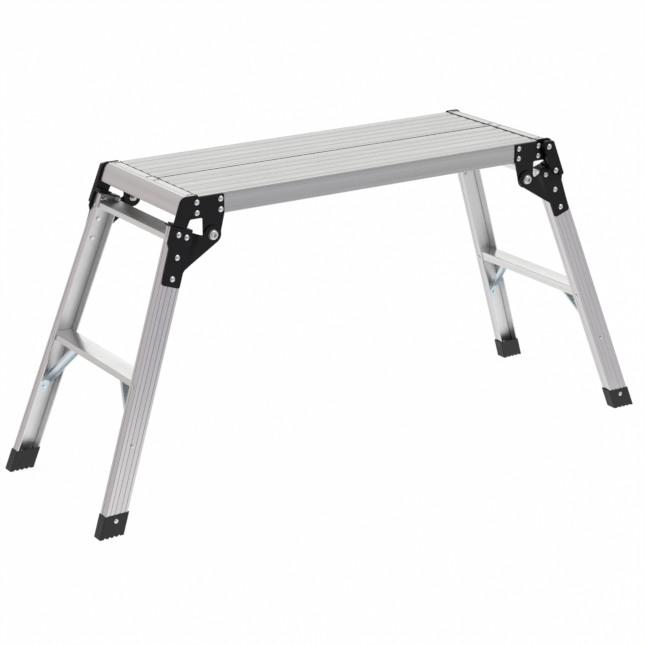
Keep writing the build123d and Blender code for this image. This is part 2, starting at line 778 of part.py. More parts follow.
# Latch lever: a pressed cup that hangs on the deck bracket and hooks over the catch pin
with BuildPart() as latch:
    with BuildSketch(leg_plane(lever_back_v)) as lever_sketch:
        with BuildLine():
            FilletPolyline(
                *lever_crown,
                lever_tip,
                (hook_u, lever_tip[1]),
                (hook_u, ledge_s),
                (ledge_end_u, ledge_s),
                (lever_crown[0][0], ledge_s + ledge_corner),
                radius=lever_rounds,
                close=True,
            )
        make_face()
    extrude(amount=lever_depth)
    fillet(latch.faces().sort_by(Axis.Y)[0].outer_wire().edges(), lever_edge_round)
    with BuildSketch(leg_plane(lever_back_v)):
        add(lever_sketch.sketch_local)
        offset(amount=-lever_wall)
    extrude(amount=lever_depth - lever_wall, mode=Mode.SUBTRACT)
    with Locations(side_seat(*leg_xz(*latch_pin), lever_face_v)):
        Cylinder(pin_radius + fit_gap, cutter, mode=Mode.SUBTRACT)

# Latch pin in the deck bracket and catch pin in the leg bracket
pin_seat_v = lever_face_v + layer_gap
latch_grip = pin_seat_v - deck_plate_v
latch_pin_body = headed(pin_head_radius, pin_head_height, pin_radius, latch_grip, pin_tail_radius, pin_tail)
latch_pin_part = set_on(latch_pin_body, [side_seat(*leg_xz(*latch_pin), pin_seat_v)])
catch_grip = pin_seat_v - catch_tail_v
catch_pin_body = headed(pin_head_radius, pin_head_height, pin_radius, catch_grip, pin_tail_radius, pin_tail)
catch_pin_part = set_on(catch_pin_body, [side_seat(*leg_xz(*catch_pin), pin_seat_v)])

# Latch spring: a wound wire around the latch pin, each half turn drawn as two arcs
half_rise = spring_pitch / 2
climb_length = sqrt((radians(180) * spring_radius) ** 2 + half_rise ** 2)
flat_share = radians(180) * spring_radius / climb_length
rise_share = half_rise / climb_length


def coil_point(half_turn):
    """Position on the coil centre line and its direction there, at a whole number of half turns."""
    side = 1 if half_turn % 2 == 0 else -1
    centre = leg_plane(spring_start_v + half_turn * half_rise).from_local_coords(Vector(*latch_pin, 0))
    return centre + out_u * side * spring_radius, up_s * side * flat_share + front * rise_share


def arc_crown(start, corner, end):
    """Middle point of the arc that touches both sides of a corner at its two ends."""
    chord = (start + end) * 0.5
    reach = (corner - start).length
    height = (corner - chord).length
    radius = (start - chord).length * reach / height
    return corner + (chord - corner) * ((sqrt(radius ** 2 + reach ** 2) - radius) / height)


with BuildPart() as latch_spring:
    with BuildLine() as coil:
        start = coil_point(0)[0]
        Line(start - up_s * spring_leg, start)
        for half_turn in range(spring_half_turns):
            here, here_way = coil_point(half_turn)
            there, there_way = coil_point(half_turn + 1)
            gap = there - here
            lean_in = gap.dot(here_way + there_way)
            turn = 2 - 2 * here_way.dot(there_way)
            reach = (-lean_in + sqrt(lean_in ** 2 + turn * gap.dot(gap))) / turn
            near = here + here_way * reach
            far = there - there_way * reach
            middle = (near + far) * 0.5
            ThreePointArc(here, arc_crown(here, near, middle), middle)
            ThreePointArc(middle, arc_crown(middle, far, there), there)
        end = coil_point(spring_half_turns)[0]
        Line(end, end - up_s * spring_leg)
    with BuildSketch(Plane(origin=coil.line @ 0, z_dir=coil.line % 0)):
        Circle(spring_wire)
    sweep(path=coil.line)
print("spring gap between turns", spring_pitch - 2 * spring_wire)

# Rivet groups at the front right corner
port_grip = plate + port_depth
tread_grip = stile_wall + tread_gap + tread_wall
brace_grip = stile_wall + brace_gap + brace_wall
foot_grip = foot_wall + stile_wall
deck_rivet = plate_rivet(plate + board_wall, plate_rivet_tail, rivet_tail_height)
port_rivet = plate_rivet(port_grip, rivet_tip, rivet_edge)
leg_rivet = plate_rivet(plate + stile_wall, plate_rivet_tail, rivet_tail_height)
tread_rivet = small_rivet(tread_grip, small_rivet_tail, rivet_tail_height)
brace_rivet = small_rivet(brace_grip, small_rivet_tail, rivet_tail_height)
foot_rivet = small_rivet(foot_grip, small_rivet_tail, rivet_tail_height)

with BuildPart() as deck_bracket_rivets:
    add(set_on(deck_rivet, deck_seats(deck_rivet_xs[0], deck_plate_outer_v)))
    add(set_on(port_rivet, deck_seats(deck_rivet_xs[1], deck_plate_outer_v)))
    mirror(about=Plane.XZ)
    mirror(about=Plane.YZ)
save(deck_bracket_rivets.part, "deck_bracket_rivets")

bracket_seats = [web_seat(u, s, plate) for u, s in leg_rivets]
outer_seat = web_seat(*outer_rivet, plate)
with BuildPart() as right_bracket_rivets:
    add(set_on(leg_rivet, bracket_seats))
    mirror(about=Plane.XZ)
    add(at_corner(set_on(leg_rivet, [outer_seat]), [Plane.XZ]))
with BuildPart() as left_bracket_rivets:
    add(set_on(leg_rivet, bracket_seats))
    mirror(about=Plane.XZ)
    add(set_on(leg_rivet, [outer_seat]))
    mirror(about=Plane.YZ, mode=Mode.REPLACE)
save(right_bracket_rivets.part, "right_bracket_rivets")
save(left_bracket_rivets.part, "left_bracket_rivets")

# Pieces that every leg frame has, written out for the right and mirrored for the left
frame_pieces = {
    "step": tread(step_top_z, step_lips, step_end_gap),
    "top_rung": tread(rung_top_z, rung_lips, rung_end_gap),
    "step_rivets": both_sides(set_on(tread_rivet, step_seats)),
    "rung_rivets": both_sides(set_on(tread_rivet, rung_seats)),
    "brace_rivets": both_sides(set_on(brace_rivet, [brace_seat])),
    "foot_rivets": both_sides(set_on(foot_rivet, [foot_seat])),
    "pivot_bolts": both_sides(pivot_bolt.part),
    "pivot_nuts": both_sides(pivot_nut.part),
    "pivot_bushes": both_sides(pivot_bush.part),
}
for name, piece in frame_pieces.items():
    save(piece, f"right_{name}")
    save(at_corner(piece, [Plane.YZ]), f"left_{name}")

# Pieces at every corner; the latch sits at the front right and the rear left
corner_flips = {
    "front_right": [],
    "rear_right": [Plane.XZ],
    "front_left": [Plane.YZ],
    "rear_left": [Plane.XZ, Plane.YZ],
}
latch_corners = ("front_right", "rear_left")
for corner, flips in corner_flips.items():
    latched = corner in latch_corners
    save(at_corner(stile(latched), flips), f"{corner}_stile")
    save(at_corner(brace.part, flips), f"{corner}_step_brace")
    save(at_corner(foot.part, flips), f"{corner}_foot")
    save(at_corner(deck_bracket(latched), flips), f"{corner}_deck_bracket")
    save(at_corner(leg_bracket(latched), flips), f"{corner}_leg_bracket")

# Pieces of the two latches
latch_pieces = {
    "latch": latch.part,
    "latch_pin": latch_pin_part,
    "latch_spring": latch_spring.part,
    "catch_pin": catch_pin_part,
}
for name, piece in latch_pieces.items():
    save(at_corner(piece, []), f"right_{name}")
    save(at_corner(piece, [Plane.XZ, Plane.YZ]), f"left_{name}")
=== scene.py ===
"""Folding aluminium work platform, dressed and lit for a studio picture.

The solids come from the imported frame. This script gives every node its finish, sets the platform
on a pale studio floor and looks at it from the photograph's camera.
"""

import logging
from dataclasses import dataclass, field
from enum import Enum
from math import cos, radians, sin

import bpy
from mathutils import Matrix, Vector


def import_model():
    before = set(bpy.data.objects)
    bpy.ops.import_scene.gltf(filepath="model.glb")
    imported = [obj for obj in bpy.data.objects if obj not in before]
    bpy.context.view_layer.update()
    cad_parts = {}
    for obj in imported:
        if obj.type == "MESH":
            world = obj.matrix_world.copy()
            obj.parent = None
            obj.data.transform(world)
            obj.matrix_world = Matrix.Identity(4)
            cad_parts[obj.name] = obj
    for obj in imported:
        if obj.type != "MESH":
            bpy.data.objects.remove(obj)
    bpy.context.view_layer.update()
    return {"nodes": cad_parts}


log = logging.getLogger("work_platform")

Colour = tuple[float, float, float]
Direction = tuple[float, float, float]
Place = tuple[float, float, float]
Span = tuple[float, float]
Tree = bpy.types.NodeTree
Socket = bpy.types.NodeSocket

UNIT: Span = (0.0, 1.0)


class Run(Enum):
    """Direction that a drawn profile runs in, as its long fine lines show it."""

    ALONG = (1.0, 0.0, 0.0)
    ACROSS = (0.0, 1.0, 0.0)
    UPRIGHT = (0.0, 0.0, 1.0)


class Position(Enum):
    """Choice whose name is part of the names of nodes."""

    @property
    def word(self) -> str:
        """Name as the nodes have it."""
        return self.name.lower()


class Side(Position):
    """Front or rear of the platform, by the sign of y."""

    FRONT = -1
    REAR = 1


class End(Position):
    """Left or right end of the platform, by the sign of x."""

    LEFT = -1
    RIGHT = 1


@dataclass(frozen=True)
class DrawnFinish:
    """Drawn aluminium: long fine die lines, broad duller streaks and soft smudges.

    Attributes:
        name: Name of the material.
        colour: Colour of the clean metal.
        stain: Colour of the duller streaks.
        roughness: Roughness of the clean metal.
        line_depth: Height of the die lines, in metres.
        run: Direction of the die lines.
        line_scale: Die lines per metre, roughly.
        mark_scale: Smudges per metre, roughly.
        spread: How far the smudges lower and raise the roughness.
    """

    name: str
    colour: Colour
    stain: Colour
    roughness: float
    line_depth: float
    run: Direction
    line_scale: float = 700.0
    mark_scale: float = 9.0
    spread: Span = (-0.05, 0.07)


@dataclass(frozen=True)
class ChannelFinish:
    """Drawn channel with its plain finish outside, its inner faces painted brighter as painted light and
    painted shade along its inner corners.

    Attributes:
        name: Name of the material.
        outside: Finish of the outer faces.
        inside: Colour of the inner faces, painted brighter than the outside as painted light.
        inside_stain: Colour of the duller clouds on the inner faces, painted brighter like them as painted
            light.
        inside_roughness: Roughness of the inner faces.
        grime: Colour of the painted shade in the inner corners.
        grime_reach: How far from a corner the painted shade starts and is full, in metres.
        across: Direction across the web.
        middle: Where the channel's middle lies, along that direction.
        half_inner: From the middle to a flange's inner face.
        outward: Direction out of the web.
        web_inner: Where the web's inner face lies, along that direction.
        wall: Thickness of the channel.
        mark_scale: Clouds per metre on the inner faces, roughly.
        spread: How far the clouds lower and raise the roughness of the inner faces.
    """

    name: str
    outside: DrawnFinish
    inside: Colour
    inside_stain: Colour
    inside_roughness: float
    grime: Colour
    grime_reach: Span
    across: Direction
    middle: float
    half_inner: float
    outward: Direction
    web_inner: float
    wall: float
    mark_scale: float = 18.0
    spread: Span = (-0.04, 0.06)


@dataclass(frozen=True)
class PunchedFinish:
    """Drawn aluminium with round punch marks at each end of the platform, painted dark inside as painted
    shade.

    Attributes:
        name: Name of the material.
        plain: Finish of the metal between the marks.
        grime: Colour painted inside the marks as painted shade.
        columns: Middle and half spacing of the two columns of marks, along the deck.
        rows: Middle and half spacing of the two rows of marks, across the deck.
        radius: Radius of a mark.
    """

    name: str
    plain: DrawnFinish
    grime: Colour
    columns: Span
    rows: Span
    radius: float


@dataclass(frozen=True)
class CoatedFinish:
    """Black coating on pressed steel, with a faint orange peel and dusty patches.

    Attributes:
        name: Name of the material.
        colour: Colour of the coating.
        dust: Colour that the dust lifts it to.
        roughness: Roughness of the clean coating.
        peel_depth: Height of the orange peel, in metres.
        specular: Specular level of the coating.
        peel_scale: Waves of the orange peel per metre, roughly.
        mark_scale: Dusty patches per metre, roughly.
        dust_range: Strength of a patch where its dust starts and is full.
        spread: How far the patches lower and raise the roughness.
    """

    name: str
    colour: Colour
    dust: Colour
    roughness: float
    peel_depth: float
    specular: float
    peel_scale: float = 700.0
    mark_scale: float = 27.0
    dust_range: Span = (0.45, 0.8)
    spread: Span = (-0.05, 0.1)


@dataclass(frozen=True)
class PlatedFinish:
    """Plated or bright steel with cloudy tints.

    Attributes:
        name: Name of the material.
        colour: Colour of most of the plating.
        tint: Colour of the clouds in it.
        roughness: Roughness of the plating.
        cloud_scale: Clouds per metre, roughly.
        grain_depth: Height of the fine grain, in metres.
        grain_scale: Grains per metre, roughly.
        spread: How far the clouds lower and raise the roughness.
    """

    name: str
    colour: Colour
    tint: Colour
    roughness: float
    cloud_scale: float
    grain_depth: float
    grain_scale: float = 1600.0
    spread: Span = (-0.04, 0.08)


@dataclass(frozen=True)
class RubberFinish:
    """Moulded rubber with a fine matt grain and worn, dusty patches.

    Attributes:
        name: Name of the material.
        colour: Colour of the clean rubber.
        dust: Colour of the dusty patches.
        roughness: Roughness of the clean rubber.
        grain_depth: Height of the moulded grain, in metres.
        grain_scale: Grains per metre, roughly.
        mark_scale: Dusty patches per metre, roughly.
        dust_range: Strength of a patch where its dust starts and is full.
        spread: How far the patches lower and raise the roughness.
    """

    name: str
    colour: Colour
    dust: Colour
    roughness: float
    grain_depth: float
    grain_scale: float = 1100.0
    mark_scale: float = 36.0
    dust_range: Span = (0.4, 0.75)
    spread: Span = (-0.06, 0.12)


Finish = DrawnFinish | ChannelFinish | PunchedFinish | CoatedFinish | PlatedFinish | RubberFinish


@dataclass
class EffectGroups:
    """Shader node groups that several finishes share.

    Attributes:
        lines: Die lines and streaks of drawn metal.
        marks: Soft smudges.
        grain: Fine even grain.
        line_scale: Die lines per metre, where a material gives none.
        line_stretch: Share of its scale that a die line keeps along its run.
        line_detail: Detail of the die lines and streaks.
        streak_share: Scale of the streaks, as a share of the die lines' scale.
        mark_scale: Smudges per metre, where a material gives none.
        mark_detail: Detail of the smudges.
        mark_roughness: How much the smaller smudges count.
        grain_scale: Grains per metre, where a material gives none.
        grain_detail: Detail of the grain.
    """

    lines: Tree = field(init=False)
    marks: Tree = field(init=False)
    grain: Tree = field(init=False)

    line_scale: float = 400.0
    line_stretch: float = 0.012
    line_detail: float = 3.0
    streak_share: float = 0.13
    mark_scale: float = 9.0
    mark_detail: float = 5.0
    mark_roughness: float = 0.62
    grain_scale: float = 900.0
    grain_detail: float = 2.0

    def __post_init__(self) -> None:
        """Builds the groups once."""
        self.lines = self._die_lines()
        self.marks = self._handling_marks()
        self.grain = self._fine_grain()

    @staticmethod
    def _new(name: str, scale: float, outputs: tuple[str, ...]) -> Tree:
        """Makes an empty group that takes coordinates and a scale.

        Args:
            name: Name of the group.
            scale: Scale where a material gives none.
            outputs: Names of the value outputs.

        Returns:
            The new group.
        """
        group = bpy.data.node_groups.new(name, "ShaderNodeTree")
        group.interface.new_socket("Vector", in_out="INPUT", socket_type="NodeSocketVector")
        plug = group.interface.new_socket("Scale", in_out="INPUT", socket_type="NodeSocketFloat")
        plug.default_value = scale
        for label in outputs:
            group.interface.new_socket(label, in_out="OUTPUT", socket_type="NodeSocketFloat")
        return group

    def _die_lines(self) -> Tree:
        """Fine lines along local Z, and broader streaks the same way.

        Returns:
            The group, with the outputs Lines and Streaks.
        """
        group = self._new("die_lines", self.line_scale, ("Lines", "Streaks"))
        nodes, links = group.nodes, group.links
        way_in = nodes.new("NodeGroupInput")
        way_out = nodes.new("NodeGroupOutput")
        squeeze = nodes.new("ShaderNodeVectorMath")
        squeeze.operation = "MULTIPLY"
        squeeze.inputs[1].default_value = (1.0, 1.0, self.line_stretch)
        share = nodes.new("ShaderNodeMath")
        share.operation = "MULTIPLY"
        share.inputs[1].default_value = self.streak_share
        links.new(way_in.outputs["Vector"], squeeze.inputs[0])
        links.new(way_in.outputs["Scale"], share.inputs[0])
        for scale, label in ((way_in.outputs["Scale"], "Lines"), (share.outputs[0], "Streaks")):
            noise = nodes.new("ShaderNodeTexNoise")
            noise.inputs["Detail"].default_value = self.line_detail
            links.new(squeeze.outputs[0], noise.inputs["Vector"])
            links.new(scale, noise.inputs["Scale"])
            links.new(noise.outputs["Fac"], way_out.inputs[label])
        return group

    def _handling_marks(self) -> Tree:
        """Soft smudges of all sizes.

        Returns:
            The group, with the output Smudge.
        """
        group = self._new("handling_marks", self.mark_scale, ("Smudge",))
        smudge = self._noise(group, self.mark_detail, "Smudge")
        smudge.inputs["Roughness"].default_value = self.mark_roughness
        return group

    def _fine_grain(self) -> Tree:
        """Even fine grain for coatings, platings and mouldings.

        Returns:
            The group, with the output Grain.
        """
        group = self._new("fine_grain", self.grain_scale, ("Grain",))
        self._noise(group, self.grain_detail, "Grain")
        return group

    @staticmethod
    def _noise(group: Tree, detail: float, label: str) -> bpy.types.Node:
        """Fills a group with one noise.

        Args:
            group: The group to fill.
            detail: Detail of the noise.
            label: Name of the output that the noise feeds.

        Returns:
            The noise node.
        """
        way_in = group.nodes.new("NodeGroupInput")
        way_out = group.nodes.new("NodeGroupOutput")
        noise = group.nodes.new("ShaderNodeTexNoise")
        noise.inputs["Detail"].default_value = detail
        for plug in ("Vector", "Scale"):
            group.links.new(way_in.outputs[plug], noise.inputs[plug])
        group.links.new(noise.outputs["Fac"], way_out.inputs[label])
        return noise


@dataclass
class FinishShop:
    """Makes each finish's material once and puts it on nodes.

    Attributes:
        nodes: The CAD nodes, by their names.
        effects: The effects that the finishes share.
        made: The materials made so far, by their names.
        cloud_range: Strength of streaks and clouds where they start and are full.
        smudge_range: Strength of smudges where they start and are full.
    """

    nodes: dict[str, bpy.types.Object]
    effects: EffectGroups = field(default_factory=EffectGroups)
    made: dict[str, bpy.types.Material] = field(default_factory=dict)
    cloud_range: Span = (0.35, 0.65)
    smudge_range: Span = (0.3, 0.7)

    def dress(self, node: str, finish: Finish) -> None:
        """Puts a finish on a node's material slots.

        Args:
            node: Name of the CAD node.
            finish: The finish that it takes.
        """
        material = self.made.get(finish.name) or self._make(finish)
        piece = self.nodes[node]
        if not piece.material_slots:
            piece.data.materials.append(material)
        for slot in piece.material_slots:
            slot.material = material
        log.info("%s: %s", node, finish.name)

    def _make(self, finish: Finish) -> bpy.types.Material:
        """Builds the material of a finish.

        Args:
            finish: The finish to build.

        Returns:
            The new material.
        """
        makers = {
            DrawnFinish: self._drawn,
            ChannelFinish: self._channel,
            PunchedFinish: self._punched,
            CoatedFinish: self._coated,
            PlatedFinish: self._plated,
            RubberFinish: self._rubber,
        }
        material = bpy.data.materials.new(finish.name)
        material.use_nodes = True
        makers[type(finish)](material.node_tree, finish)
        self.made[finish.name] = material
        return material

    @staticmethod
    def _place(tree: Tree) -> Socket:
        """Gives the socket of the object's own coordinates."""
        return tree.nodes.new("ShaderNodeTexCoord").outputs["Object"]

    @staticmethod
    def _plug(tree: Tree, label: str) -> Socket:
        """Gives an input of the material's shader by its name."""
        return tree.nodes["Principled BSDF"].inputs[label]

    @staticmethod
    def _effect(tree: Tree, group: Tree, vector: Socket, scale: float) -> bpy.types.Node:
        """Places an effect group in a material.

        Args:
            tree: The material's nodes.
            group: The effect to place.
            vector: Socket that gives the coordinates.
            scale: Scale of the effect.

        Returns:
            The group node.
        """
        node = tree.nodes.new("ShaderNodeGroup")
        node.node_tree = group
        node.inputs["Scale"].default_value = scale
        tree.links.new(vector, node.inputs["Vector"])
        return node

    @staticmethod
    def _blend(tree: Tree, share: Socket, low: Colour, high: Colour) -> Socket:
        """Mixes two colours by a mask.

        Args:
            tree: The material's nodes.
            share: Socket of the mask.
            low: Colour where the mask is 0.
            high: Colour where the mask is 1.

        Returns:
            The socket of the mixed colour.
        """
        mix = tree.nodes.new("ShaderNodeMix")
        mix.data_type = "RGBA"
        mix.inputs["A"].default_value = (*low, 1.0)
        mix.inputs["B"].default_value = (*high, 1.0)
        tree.links.new(share, mix.inputs["Factor"])
        return mix.outputs["Result"]

    @staticmethod
    def _remap(tree: Tree, value: Socket, taken: Span, given: Span = UNIT) -> Socket:
        """Stretches a value from one range to another.

        Args:
            tree: The material's nodes.
            value: Socket of the value.
            taken: Lowest and highest value that count.
            given: What they become.

        Returns:
            The socket of the stretched value.
        """
        node = tree.nodes.new("ShaderNodeMapRange")
        node.inputs["From Min"].default_value = taken[0]
        node.inputs["From Max"].default_value = taken[1]
        node.inputs["To Min"].default_value = given[0]
        node.inputs["To Max"].default_value = given[1]
        tree.links.new(value, node.inputs["Value"])
        return node.outputs["Result"]

    def _dull(self, tree: Tree, smudge: Socket, roughness: float, spread: Span) -> Socket:
        """Spreads a roughness by smudges.

        Args:
            tree: The material's nodes.
            smudge: Socket of the smudges.
            roughness: Roughness of the clean surface.
            spread: How far the smudges lower and raise it.

        Returns:
            The socket of the spread roughness.
        """
        lowest, highest = (roughness + step for step in spread)
        return self._remap(tree, smudge, self.smudge_range, (lowest, highest))

    def _relief(self, tree: Tree, height: Socket, depth: float) -> None:
        """Bumps the surface by a height.

        Args:
            tree: The material's nodes.
            height: Socket of the height, from 0 to 1.
            depth: What a height of 1 stands for, in metres.
        """
        bump = tree.nodes.new("ShaderNodeBump")
        bump.inputs["Distance"].default_value = depth
        tree.links.new(height, bump.inputs["Height"])
        tree.links.new(bump.outputs["Normal"], self._plug(tree, "Normal"))

    @staticmethod
    def _math(tree: Tree, operation: str, first: Socket, second: Socket | float = 0.0) -> Socket:
        """Works out a value from one or two others.

        Args:
            tree: The material's nodes.
            operation: The Math node's operation.
            first: Socket of the first value.
            second: Socket of the second value, or a number.

        Returns:
            The socket of the result.
        """
        node = tree.nodes.new("ShaderNodeMath")
        node.operation = operation
        tree.links.new(first, node.inputs[0])
        if isinstance(second, float):
            node.inputs[1].default_value = second
        else:
            tree.links.new(second, node.inputs[1])
        return node.outputs[0]

    def _past(self, tree: Tree, way: Direction, bound: float) -> Socket:
        """Measures how far the surface lies past a bound along a direction.

        Args:
            tree: The material's nodes.
            way: The direction.
            bound: The bound, in metres.

        Returns:
            The socket of the distance, negative before the bound.
        """
        along = tree.nodes.new("ShaderNodeVectorMath")
        along.operation = "DOT_PRODUCT"
        along.inputs[1].default_value = way
        tree.links.new(self._place(tree), along.inputs[0])
        return self._math(tree, "SUBTRACT", along.outputs["Value"], bound)

    def _past_pair(self, tree: Tree, off_middle: Socket, half: float) -> Socket:
        """Measures how far the surface lies outside two bounds, one each side of a middle.

        Args:
            tree: The material's nodes.
            off_middle: Socket of the distance from the middle.
            half: From the middle to a bound, in metres.

        Returns:
            The socket of the distance, negative between the two bounds.
        """
        return self._math(tree, "SUBTRACT", self._math(tree, "ABSOLUTE", off_middle), half)

    def _overlay(self, tree: Tree, label: str, mask: Socket, value: Socket | Colour) -> None:
        """Lays a colour or value over what already feeds a shader input, where a mask says.

        Args:
            tree: The material's nodes.
            label: Name of the shader's input.
            mask: Socket of the mask.
            value: Socket of what the mask shows, or a colour.
        """
        plug = self._plug(tree, label)
        mix = tree.nodes.new("ShaderNodeMix")
        mix.data_type = "RGBA" if plug.type == "RGBA" else "FLOAT"
        tree.links.new(mask, mix.inputs["Factor"])
        tree.links.new(plug.links[0].from_socket, mix.inputs["A"])
        if isinstance(value, tuple):
            mix.inputs["B"].default_value = (*value, 1.0)
        else:
            tree.links.new(value, mix.inputs["B"])
        tree.links.new(mix.outputs["Result"], plug)

    def _drawn(self, tree: Tree, finish: DrawnFinish) -> None:
        """Drawn aluminium.

        Args:
            tree: The material's nodes.
            finish: The finish to build.
        """
        place = self._place(tree)
        turn = tree.nodes.new("ShaderNodeMapping")
        upright = Vector(Run.UPRIGHT.value)
        turn.inputs["Rotation"].default_value = Vector(finish.run).rotation_difference(upright).to_euler()
        tree.links.new(place, turn.inputs["Vector"])
        lines = self._effect(tree, self.effects.lines, turn.outputs["Vector"], finish.line_scale)
        marks = self._effect(tree, self.effects.marks, place, finish.mark_scale)
        streaks = self._remap(tree, lines.outputs["Streaks"], self.cloud_range)
        streaked = self._blend(tree, streaks, finish.stain, finish.colour)
        tree.links.new(streaked, self._plug(tree, "Base Color"))
        dull = self._dull(tree, marks.outputs["Smudge"], finish.roughness, finish.spread)
        tree.links.new(dull, self._plug(tree, "Roughness"))
        self._plug(tree, "Metallic").default_value = 1.0
        self._relief(tree, lines.outputs["Lines"], finish.line_depth)

    def _channel(self, tree: Tree, finish: ChannelFinish) -> None:
        """Drawn channel with its inner faces painted brighter as painted light and painted shade in its
        inner corners.

        Args:
            tree: The material's nodes.
            finish: The finish to build.
        """
        self._drawn(tree, finish.outside)
        off_middle = self._past(tree, finish.across, finish.middle)
        past_flange = self._past_pair(tree, off_middle, finish.half_inner)
        past_web = self._past(tree, finish.outward, finish.web_inner)
        past_inner = self._math(tree, "MAXIMUM", past_flange, past_web)
        inside = self._math(tree, "LESS_THAN", past_inner, finish.wall / 2)
        marks = self._effect(tree, self.effects.marks, self._place(tree), finish.mark_scale)
        smudge = marks.outputs["Smudge"]
        cloudy = self._remap(tree, smudge, self.cloud_range)
        clouds = self._blend(tree, cloudy, finish.inside_stain, finish.inside)
        # Painted light: the inner faces take a brighter colour than the outside.
        self._overlay(tree, "Base Color", inside, clouds)
        dull = self._dull(tree, smudge, finish.inside_roughness, finish.spread)
        self._overlay(tree, "Roughness", inside, dull)
        # Painted shade: darken the inner faces near the corners between web and flanges.
        before_inner = self._math(tree, "MINIMUM", past_flange, past_web)
        shade_start, shade_full = (-reach for reach in finish.grime_reach)
        near = self._remap(tree, before_inner, (shade_start, shade_full))
        shaded_corner = self._math(tree, "MINIMUM", near, inside)
        self._overlay(tree, "Base Color", shaded_corner, finish.grime)

    def _off_lines(self, tree: Tree, way: Direction, pair: Span) -> Socket:
        """Measures how far the surface lies off the nearest of four lines, two each side of the origin.

        Args:
            tree: The material's nodes.
            way: Direction across the lines.
            pair: Middle and half spacing of the two lines on one side.

        Returns:
            The socket of the distance, negative between the two lines.
        """
        off = self._past(tree, way, 0.0)
        for step in pair:
            off = self._past_pair(tree, off, step)
        return off

    def _punched(self, tree: Tree, finish: PunchedFinish) -> None:
        """Drawn aluminium with punch marks painted dark inside as painted shade.

        Args:
            tree: The material's nodes.
            finish: The finish to build.
        """
        self._drawn(tree, finish.plain)
        along = self._off_lines(tree, Run.ALONG.value, finish.columns)
        across = self._off_lines(tree, Run.ACROSS.value, finish.rows)
        squares = [self._math(tree, "MULTIPLY", off, off) for off in (along, across)]
        marked = self._math(tree, "LESS_THAN", self._math(tree, "ADD", *squares), finish.radius ** 2)
        # Painted shade: the marks take a near-black colour.
        self._overlay(tree, "Base Color", marked, finish.grime)

    def _coated(self, tree: Tree, finish: CoatedFinish) -> None:
        """Black coating.

        Args:
            tree: The material's nodes.
            finish: The finish to build.
        """
        place = self._place(tree)
        smudge = self._effect(tree, self.effects.marks, place, finish.mark_scale).outputs["Smudge"]
        peel = self._effect(tree, self.effects.grain, place, finish.peel_scale)
        dusty = self._remap(tree, smudge, finish.dust_range)
        tree.links.new(self._blend(tree, dusty, finish.colour, finish.dust), self._plug(tree, "Base Color"))
        dull = self._dull(tree, smudge, finish.roughness, finish.spread)
        tree.links.new(dull, self._plug(tree, "Roughness"))
        self._plug(tree, "Specular IOR Level").default_value = finish.specular
        self._relief(tree, peel.outputs["Grain"], finish.peel_depth)

    def _plated(self, tree: Tree, finish: PlatedFinish) -> None:
        """Plated or bright steel.

        Args:
            tree: The material's nodes.
            finish: The finish to build.
        """
        place = self._place(tree)
        smudge = self._effect(tree, self.effects.marks, place, finish.cloud_scale).outputs["Smudge"]
        grain = self._effect(tree, self.effects.grain, place, finish.grain_scale)
        clouds = self._remap(tree, smudge, self.cloud_range)
        tree.links.new(self._blend(tree, clouds, finish.colour, finish.tint), self._plug(tree, "Base Color"))
        dull = self._dull(tree, smudge, finish.roughness, finish.spread)
        tree.links.new(dull, self._plug(tree, "Roughness"))
        self._plug(tree, "Metallic").default_value = 1.0
        self._relief(tree, grain.outputs["Grain"], finish.grain_depth)

    def _rubber(self, tree: Tree, finish: RubberFinish) -> None:
        """Moulded rubber.

        Args:
            tree: The material's nodes.
            finish: The finish to build.
        """
        place = self._place(tree)
        smudge = self._effect(tree, self.effects.marks, place, finish.mark_scale).outputs["Smudge"]
        grain = self._effect(tree, self.effects.grain, place, finish.grain_scale)
        dusty = self._remap(tree, smudge, finish.dust_range)
        tree.links.new(self._blend(tree, dusty, finish.colour, finish.dust), self._plug(tree, "Base Color"))
        dull = self._dull(tree, smudge, finish.roughness, finish.spread)
        tree.links.new(dull, self._plug(tree, "Roughness"))
        self._relief(tree, grain.outputs["Grain"], finish.grain_depth)


